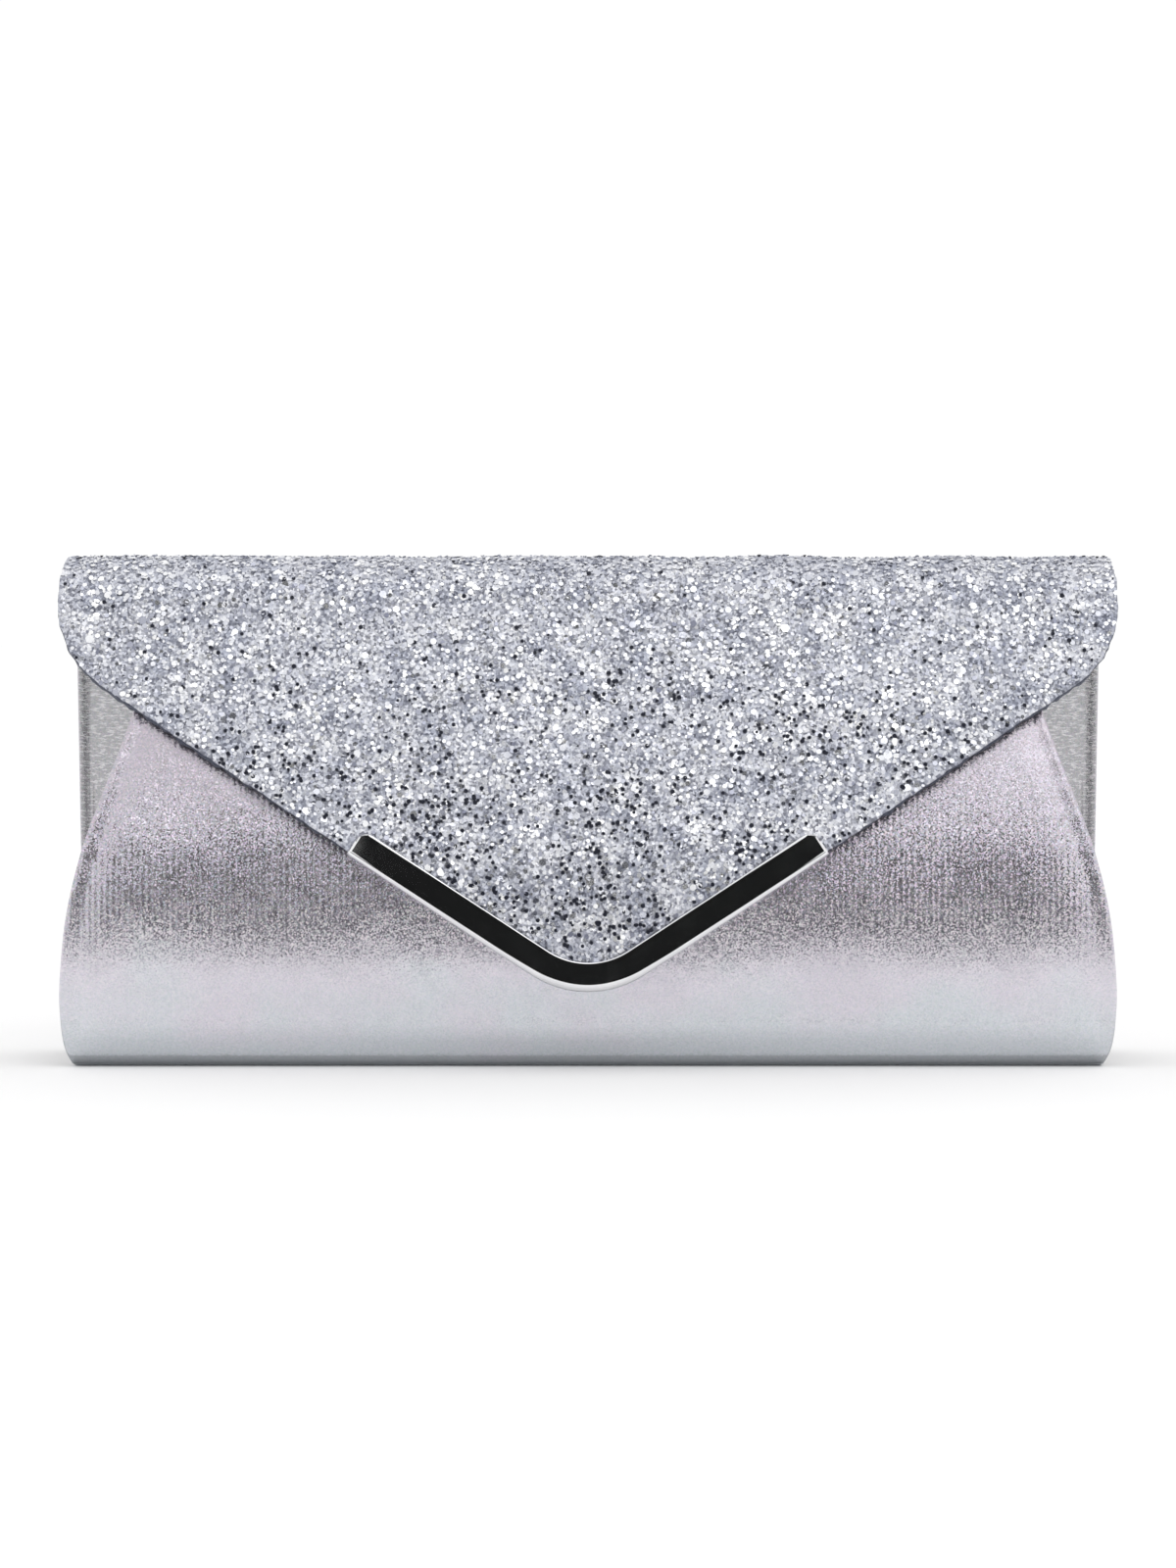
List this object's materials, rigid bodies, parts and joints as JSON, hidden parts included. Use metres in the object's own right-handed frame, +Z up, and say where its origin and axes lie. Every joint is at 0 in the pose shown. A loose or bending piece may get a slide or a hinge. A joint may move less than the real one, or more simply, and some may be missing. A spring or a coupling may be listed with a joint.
{
  "type": "evening bag",
  "caption": "Envelope evening bag: a fabric body with folding side gussets, a glitter flap with a V-shaped metal edge, a magnetic snap and swinging strap rings.",
  "frame": {"origin": "middle of the flat base, on the surface the bag stands on", "axes": "+X along the bag's width, +Y to its back, +Z up; the flap's front faces -Y"},
  "size_m": [0.2498, 0.0557, 0.1201],
  "materials": {
    "silver_fabric": "metallic lame weave",
    "glitter_fabric": "coarse silver glitter",
    "cardboard": "matt",
    "lining_satin": "satin",
    "polished_metal": "polished",
    "nickel": "nickel plated"
  },
  "bodies": {
    "shell": {"base_panel": "silver_fabric", "base_lining": "lining_satin", "base_board": "cardboard", "back_panel": "silver_fabric", "back_board": "cardboard", "back_lining": "lining_satin", "flap_anchor_strip": "glitter_fabric", "slip_pocket": "lining_satin", "gusset_left_rear": "silver_fabric", "gusset_right_rear": "silver_fabric", "ring_tab_left": "silver_fabric", "ring_tab_right": "silver_fabric"},
    "front": {"front_panel": "silver_fabric", "front_board": "cardboard", "front_lining": "lining_satin", "mouth_binding": "silver_fabric", "gusset_left_front": "silver_fabric", "gusset_right_front": "silver_fabric", "snap_socket": "nickel", "snap_socket_washer": "nickel"},
    "flap": {"flap_cover": "glitter_fabric", "flap_board": "cardboard", "flap_lining": "lining_satin", "flap_edge_trim": "polished_metal", "snap_stud": "nickel", "snap_stud_washer": "nickel"},
    "ring_left": {"strap_ring_left": "nickel"},
    "ring_right": {"strap_ring_right": "nickel"}
  },
  "joints": [
    {"name": "flap_open", "type": "hinge", "parent": "shell", "child": "flap", "pos_m": [0, 0.0094, 0.112], "axis": [-1, 0, 0], "range_deg": [0, 180]},
    {"name": "mouth_open", "type": "hinge", "parent": "shell", "child": "front", "pos_m": [0, -0.024, 0.012], "axis": [1, 0, 0], "range_deg": [0, 12]},
    {"name": "ring_left_swing", "type": "hinge", "parent": "shell", "child": "ring_left", "pos_m": [-0.078, 0.0026, 0.103], "axis": [-1, 0, 0], "range_deg": [-15, 170]},
    {"name": "ring_right_swing", "type": "hinge", "parent": "shell", "child": "ring_right", "pos_m": [0.078, 0.0026, 0.103], "axis": [-1, 0, 0], "range_deg": [-15, 170]}
  ],
  "couplings": [
    {"joint": "mouth_open", "follows": "flap_open", "ratio": 0.0666}
  ]
}
